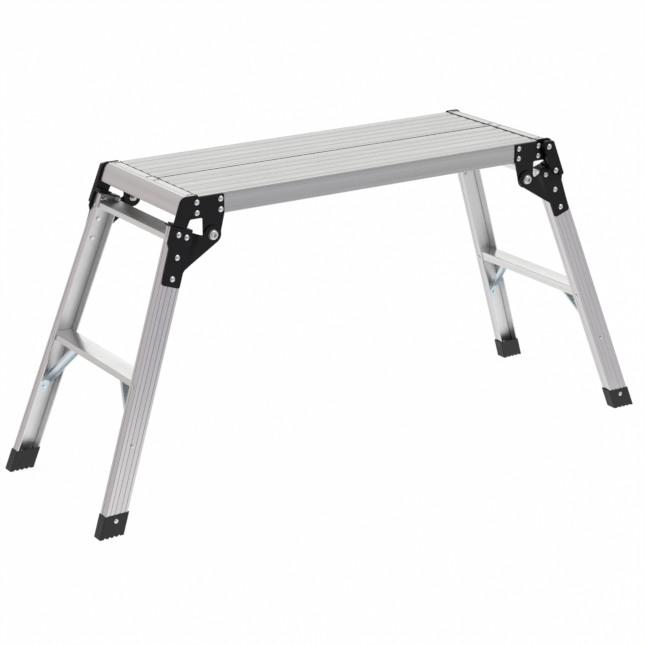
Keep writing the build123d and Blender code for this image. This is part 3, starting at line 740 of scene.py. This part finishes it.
@dataclass(frozen=True)
class Finishes:
    """The finishes of the platform's pieces."""

    board: DrawnFinish = DrawnFinish(
        name="board_aluminium",
        colour=(0.57, 0.57, 0.56),
        stain=(0.492, 0.492, 0.484),
        roughness=0.23,
        line_depth=0.00004,
        run=Run.ALONG.value,
    )
    beam: PunchedFinish = PunchedFinish(
        name="beam_aluminium",
        plain=DrawnFinish(
            name="beam_plain",
            colour=(0.695, 0.68, 0.675),
            stain=(0.635, 0.62, 0.615),
            roughness=0.24,
            line_depth=0.00003,
            run=Run.ACROSS.value,
        ),
        # Painted shade inside the punch marks.
        grime=(0.03, 0.03, 0.03),
        columns=(0.3947, 0.0032),
        rows=(0.0765, 0.0625),
        radius=0.0029,
    )
    rung: DrawnFinish = DrawnFinish(
        name="rung_aluminium",
        colour=(0.84, 0.835, 0.83),
        stain=(0.77, 0.765, 0.76),
        roughness=0.4,
        line_depth=0.00003,
        run=Run.ACROSS.value,
    )
    tread: DrawnFinish = DrawnFinish(
        name="tread_aluminium",
        colour=(0.765, 0.76, 0.755),
        stain=(0.69, 0.685, 0.68),
        roughness=0.18,
        line_depth=0.00003,
        run=Run.ACROSS.value,
    )
    bracket: CoatedFinish = CoatedFinish(
        name="bracket_black",
        colour=(0.005, 0.0045, 0.0055),
        dust=(0.009, 0.0085, 0.0095),
        roughness=0.26,
        peel_depth=0.00006,
        specular=0.24,
    )
    latch: CoatedFinish = CoatedFinish(
        name="latch_black",
        colour=(0.005, 0.0045, 0.0055),
        dust=(0.008, 0.0075, 0.0085),
        roughness=0.3,
        peel_depth=0.00005,
        specular=0.2,
    )
    zinc: PlatedFinish = PlatedFinish(
        name="brace_zinc",
        colour=(0.66, 0.76, 0.82),
        tint=(0.72, 0.78, 0.8),
        roughness=0.3,
        cloud_scale=40.0,
        grain_depth=0.00003,
    )
    rivet: PlatedFinish = PlatedFinish(
        name="rivet_steel",
        colour=(0.82, 0.83, 0.85),
        tint=(0.66, 0.67, 0.69),
        roughness=0.14,
        cloud_scale=160.0,
        grain_depth=0.00002,
    )
    bolt: PlatedFinish = PlatedFinish(
        name="bolt_zinc",
        colour=(0.78, 0.77, 0.73),
        tint=(0.68, 0.68, 0.65),
        roughness=0.2,
        cloud_scale=90.0,
        grain_depth=0.00002,
    )
    spring: PlatedFinish = PlatedFinish(
        name="spring_wire",
        colour=(0.33, 0.33, 0.35),
        tint=(0.22, 0.22, 0.24),
        roughness=0.35,
        cloud_scale=200.0,
        grain_depth=0.00001,
    )
    foot: RubberFinish = RubberFinish(
        name="foot_rubber",
        colour=(0.009, 0.009, 0.0105),
        dust=(0.017, 0.017, 0.018),
        roughness=0.5,
        grain_depth=0.00006,
    )


@dataclass
class Deck:
    """The two boards, the end beams, the brackets that tie them together and the pivots."""

    shop: FinishShop
    finishes: Finishes

    def dress(self) -> None:
        """Gives every piece of the deck its finish."""
        for side in Side:
            self.shop.dress(f"{side.word}_board", self.finishes.board)
        for end in End:
            self.shop.dress(f"{end.word}_end_beam", self.finishes.beam)
            self.shop.dress(f"{end.word}_pivot_bolts", self.finishes.bolt)
            self.shop.dress(f"{end.word}_pivot_nuts", self.finishes.bolt)
            for side in Side:
                self.shop.dress(f"{side.word}_{end.word}_deck_bracket", self.finishes.bracket)
        self.shop.dress("deck_bracket_rivets", self.finishes.rivet)


@dataclass
class LegFrame:
    """One folding leg frame: stiles, step, top rung, braces, brackets and feet.

    Attributes:
        end: End of the platform that it stands at.
        shop: Where its finishes are made.
        finishes: The finishes to choose from.
        lean: Lean of the stiles along the deck.
        flare: Lean of the stiles across the deck.
        pivot: Place of its pivots, along the deck and up.
        web_half: From the middle of the deck to a stile's web, at the height of the pivots.
        stile_from: From the pivots to the stile's nearer flange.
        stile_width: Width of a stile.
        stile_wall: Thickness of a stile.
    """

    end: End
    shop: FinishShop
    finishes: Finishes
    lean: float = radians(19.45)
    flare: float = radians(5.12)
    pivot: Span = (0.3585, 0.517)
    web_half: float = 0.1482
    stile_from: float = 0.03775
    stile_width: float = 0.043
    stile_wall: float = 0.002

    def stile_run(self, side: Side) -> Direction:
        """Direction up a stile.

        Args:
            side: Front or rear stile.

        Returns:
            The direction as a unit vector.
        """
        return (
            -self.end.value * sin(self.lean) * cos(self.flare),
            -side.value * sin(self.flare),
            cos(self.lean) * cos(self.flare),
        )

    def stile_finish(self, side: Side) -> ChannelFinish:
        """Finish of a stile, with its inner faces painted bright as painted light and painted shade along
        its inner corners.

        Args:
            side: Front or rear stile.

        Returns:
            The finish, with the place of the channel's inner faces.
        """
        corner = f"{side.word}_{self.end.word}"
        outside = DrawnFinish(
            name=f"{corner}_stile_outside",
            colour=(0.71, 0.69, 0.695),
            stain=(0.64, 0.62, 0.625),
            roughness=0.26,
            line_depth=0.000025,
            run=self.stile_run(side),
        )
        across = Vector((self.end.value * cos(self.lean), 0.0, sin(self.lean)))
        outward = Vector((
            -self.end.value * sin(self.lean) * sin(self.flare),
            side.value * cos(self.flare),
            cos(self.lean) * sin(self.flare),
        ))
        web_point = Vector((self.end.value * self.pivot[0], side.value * self.web_half, self.pivot[1]))
        return ChannelFinish(
            name=f"{corner}_stile_aluminium",
            outside=outside,
            # Painted light: the inner faces are coloured brighter than the outer faces.
            inside=(0.885, 0.885, 0.875),
            inside_stain=(0.845, 0.85, 0.845),
            inside_roughness=0.42,
            # Painted shade along the channel's inner corners.
            grime=(0.45, 0.46, 0.475),
            grime_reach=(0.0028, 0.0008),
            across=tuple(across),
            middle=web_point.dot(across) + self.stile_from + self.stile_width / 2,
            half_inner=self.stile_width / 2 - self.stile_wall,
            outward=tuple(outward),
            web_inner=web_point.dot(outward) - self.stile_wall,
            wall=self.stile_wall,
        )

    def dress(self) -> None:
        """Gives every piece of the leg frame its finish."""
        name = self.end.word
        for side in Side:
            corner = f"{side.word}_{name}"
            self.shop.dress(f"{corner}_stile", self.stile_finish(side))
            self.shop.dress(f"{corner}_step_brace", self.finishes.zinc)
            self.shop.dress(f"{corner}_leg_bracket", self.finishes.bracket)
            self.shop.dress(f"{corner}_foot", self.finishes.foot)
        self.shop.dress(f"{name}_step", self.finishes.tread)
        self.shop.dress(f"{name}_top_rung", self.finishes.rung)
        for piece in ("step_rivets", "rung_rivets", "brace_rivets", "foot_rivets", "bracket_rivets"):
            self.shop.dress(f"{name}_{piece}", self.finishes.rivet)
        for piece in ("pivot_bushes", "catch_pin"):
            self.shop.dress(f"{name}_{piece}", self.finishes.bolt)


@dataclass
class Latch:
    """One latch lever with its pin and its spring."""

    end: End
    shop: FinishShop
    finishes: Finishes

    def dress(self) -> None:
        """Gives the lever, its pin and its spring their finishes."""
        name = self.end.word
        self.shop.dress(f"{name}_latch", self.finishes.latch)
        self.shop.dress(f"{name}_latch_pin", self.finishes.bolt)
        self.shop.dress(f"{name}_latch_spring", self.finishes.spring)


@dataclass
class Studio:
    """White paper run out behind the platform, a grey room around it and soft lamps.

    Attributes:
        heading: Direction that the camera looks in, as seen from above.
        sheet_near: Reach along the heading and half width of the sheet's near edge.
        sheet_far: The same for its far edge.
        sheet_colour: Colour of the paper.
        sheet_roughness: Roughness of the paper.
        sheet_specular: Specular level of the paper.
        sheet_white: Share of plain white in what the camera sees of the sheet.
        room_light: Strength of the room's light.
        room_colour: Colour of the room's light.
        front_colour: Colour of the light from the front.
        front_range: Y of a direction where that colour is full and where it ends.
        left_colour: Colour of the light from the left.
        left_range: X of a direction where that colour is full and where it ends.
        dark_share: Share of the room's light that is left behind the camera.
        dark_from: How far a direction points back to the camera where the room starts to darken.
        dark_full: How far it points back there where the room is darkest.
        back_place: Place of the lamp behind the platform.
        back_size: Length of its side.
        back_power: Its power in watts.
        top_place: Place of the lamp above the platform.
        top_size: Length of its side.
        top_power: Its power in watts.
        aim: Point that both lamps face.
    """

    heading: Span = (0.5457, 0.838)
    sheet_near: Span = (-0.91, 0.56)
    sheet_far: Span = (6.0, 1.75)
    sheet_colour: Colour = (0.95, 0.95, 0.95)
    sheet_roughness: float = 1.0
    sheet_specular: float = 0.0
    sheet_white: float = 0.97
    room_light: float = 0.7
    room_colour: Colour = (1.0, 1.0, 1.0)
    front_colour: Colour = (0.97, 0.96, 1.04)
    front_range: Span = (-0.88, -0.7)
    left_colour: Colour = (1.02, 0.98, 0.975)
    left_range: Span = (-0.5, -0.25)
    dark_share: float = 0.48
    dark_from: float = 0.6
    dark_full: float = 0.95
    back_place: Place = (2.2, 3.35, 3.1)
    back_size: float = 3.6
    back_power: float = 18.5
    top_place: Place = (0.9, -0.8, 3.2)
    top_size: float = 2.6
    top_power: float = 24.0
    aim: Place = (0.0, 0.0, 0.4)

    def build(self) -> None:
        """Builds the room, the sheet and the lamps."""
        bpy.context.scene.view_settings.view_transform = "Standard"
        self._room()
        self._sheet()
        self._lamp("back_softbox", self.back_place, self.back_size, self.back_power)
        self._lamp("top_softbox", self.top_place, self.top_size, self.top_power)

    def _room(self) -> None:
        """Even light from all round: cooler from the front, warmer from the left, dark behind the camera."""
        world = bpy.data.worlds.new("studio_room")
        world.use_nodes = True
        bpy.context.scene.world = world
        tree = world.node_tree
        way = tree.nodes.new("ShaderNodeTexCoord").outputs["Generated"]
        background = tree.nodes["Background"]
        tree.links.new(self._room_tint(tree, way), background.inputs["Color"])
        tree.links.new(self._room_level(tree, way), background.inputs["Strength"])

    def _room_tint(self, tree: Tree, way: Socket) -> Socket:
        """Tints the light from the left and from the front.

        Args:
            tree: The world's nodes.
            way: Socket of the direction that the light comes from.

        Returns:
            The socket of the light's colour.
        """
        parts = tree.nodes.new("ShaderNodeSeparateXYZ")
        tree.links.new(way, parts.inputs["Vector"])
        tints = (("X", self.left_range, self.left_colour), ("Y", self.front_range, self.front_colour))
        tinted = None
        for axis, (full, end), colour in tints:
            share = tree.nodes.new("ShaderNodeMapRange")
            share.inputs["From Min"].default_value = full
            share.inputs["From Max"].default_value = end
            blend = tree.nodes.new("ShaderNodeMix")
            blend.data_type = "RGBA"
            blend.inputs["A"].default_value = (*colour, 1.0)
            blend.inputs["B"].default_value = (*self.room_colour, 1.0)
            tree.links.new(parts.outputs[axis], share.inputs["Value"])
            tree.links.new(share.outputs["Result"], blend.inputs["Factor"])
            if tinted:
                tree.links.new(tinted, blend.inputs["B"])
            tinted = blend.outputs["Result"]
        return tinted

    def _room_level(self, tree: Tree, way: Socket) -> Socket:
        """Darkens the room behind the camera.

        Args:
            tree: The world's nodes.
            way: Socket of the direction that the light comes from.

        Returns:
            The socket of the light's strength.
        """
        facing = tree.nodes.new("ShaderNodeVectorMath")
        facing.operation = "DOT_PRODUCT"
        facing.inputs[1].default_value = (-self.heading[0], -self.heading[1], 0.0)
        level = tree.nodes.new("ShaderNodeMapRange")
        level.inputs["From Min"].default_value = self.dark_from
        level.inputs["From Max"].default_value = self.dark_full
        level.inputs["To Min"].default_value = self.room_light
        level.inputs["To Max"].default_value = self.room_light * self.dark_share
        tree.links.new(way, facing.inputs[0])
        tree.links.new(facing.outputs["Value"], level.inputs["Value"])
        return level.outputs["Result"]

    def _sheet(self) -> None:
        """Matt white sheet that keeps the platform's soft shadow."""
        ahead = Vector((*self.heading, 0.0))
        right = Vector((self.heading[1], -self.heading[0], 0.0))
        corners = [
            ahead * reach + right * half * way
            for (reach, half), ways in ((self.sheet_near, (-1, 1)), (self.sheet_far, (1, -1)))
            for way in ways
        ]
        mesh = bpy.data.meshes.new("studio_sheet")
        mesh.from_pydata(corners, [], [(0, 1, 2, 3)])
        sheet = bpy.data.objects.new("studio_sheet", mesh)
        bpy.context.scene.collection.objects.link(sheet)
        sheet.data.materials.append(self._paper())

    def _paper(self) -> bpy.types.Material:
        """Paper that is nearly plain white where it is seen, and lit and shaded as paper.

        Returns:
            The new material.
        """
        material = bpy.data.materials.new("sheet_paper")
        material.use_nodes = True
        nodes, links = material.node_tree.nodes, material.node_tree.links
        paper = nodes["Principled BSDF"]
        paper.inputs["Base Color"].default_value = (*self.sheet_colour, 1.0)
        paper.inputs["Roughness"].default_value = self.sheet_roughness
        paper.inputs["Specular IOR Level"].default_value = self.sheet_specular
        path = nodes.new("ShaderNodeLightPath")
        seen = path.outputs["Is Camera Ray"]
        for ray in ("Is Glossy Ray", "Is Transmission Ray"):
            either = nodes.new("ShaderNodeMath")
            either.operation = "MAXIMUM"
            links.new(seen, either.inputs[0])
            links.new(path.outputs[ray], either.inputs[1])
            seen = either.outputs[0]
        share = nodes.new("ShaderNodeMath")
        share.operation = "MULTIPLY"
        share.inputs[1].default_value = self.sheet_white
        glow = nodes.new("ShaderNodeEmission")
        blend = nodes.new("ShaderNodeMixShader")
        links.new(seen, share.inputs[0])
        links.new(share.outputs[0], blend.inputs["Fac"])
        links.new(paper.outputs["BSDF"], blend.inputs[1])
        links.new(glow.outputs["Emission"], blend.inputs[2])
        links.new(blend.outputs["Shader"], nodes["Material Output"].inputs["Surface"])
        return material

    def _lamp(self, name: str, place: Place, size: float, power: float) -> None:
        """Adds a square softbox that faces the platform.

        Args:
            name: Name of the lamp.
            place: Where it stands.
            size: Length of its side.
            power: Its power in watts.
        """
        lamp = bpy.data.lights.new(name, "AREA")
        lamp.shape = "SQUARE"
        lamp.size = size
        lamp.energy = power
        holder = bpy.data.objects.new(name, lamp)
        bpy.context.scene.collection.objects.link(holder)
        holder.location = place
        holder.rotation_euler = (Vector(self.aim) - Vector(place)).to_track_quat("-Z", "Y").to_euler()


@dataclass
class PhotoCamera:
    """The photograph's camera, found by fitting the platform's corners to the picture.

    Attributes:
        place: Where the camera stands.
        aim: Point in the middle of the picture.
        focal_pixels: Focal length, in pixels of the picture.
        picture_pixels: Width of the picture, in pixels.
        sensor: Width of the sensor, in millimetres.
        far_clip: How far the camera sees, in metres.
    """

    place: Place = (-2.11544, -3.21417, 1.54068)
    aim: Place = (-0.022, 0.0, 0.2443)
    focal_pixels: float = 2040.2
    picture_pixels: float = 645.0
    sensor: float = 36.0
    far_clip: float = 100.0

    def build(self) -> None:
        """Adds the camera and makes it the scene's own."""
        camera = bpy.data.cameras.new("photo_camera")
        camera.sensor_fit = "HORIZONTAL"
        camera.sensor_width = self.sensor
        camera.lens = self.focal_pixels / self.picture_pixels * self.sensor
        camera.clip_end = self.far_clip
        holder = bpy.data.objects.new("photo_camera", camera)
        bpy.context.scene.collection.objects.link(holder)
        holder.location = self.place
        holder.rotation_euler = (Vector(self.aim) - Vector(self.place)).to_track_quat("-Z", "Y").to_euler()
        bpy.context.scene.camera = holder


def main() -> None:
    """Dresses the platform, lights it and sets the camera."""
    logging.basicConfig(level=logging.INFO, format="%(name)s: %(message)s")
    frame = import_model()
    shop = FinishShop(frame["nodes"])
    finishes = Finishes()
    Deck(shop, finishes).dress()
    for end in End:
        LegFrame(end, shop, finishes).dress()
        Latch(end, shop, finishes).dress()
    Studio().build()
    PhotoCamera().build()


if __name__ == "__main__":
    main()
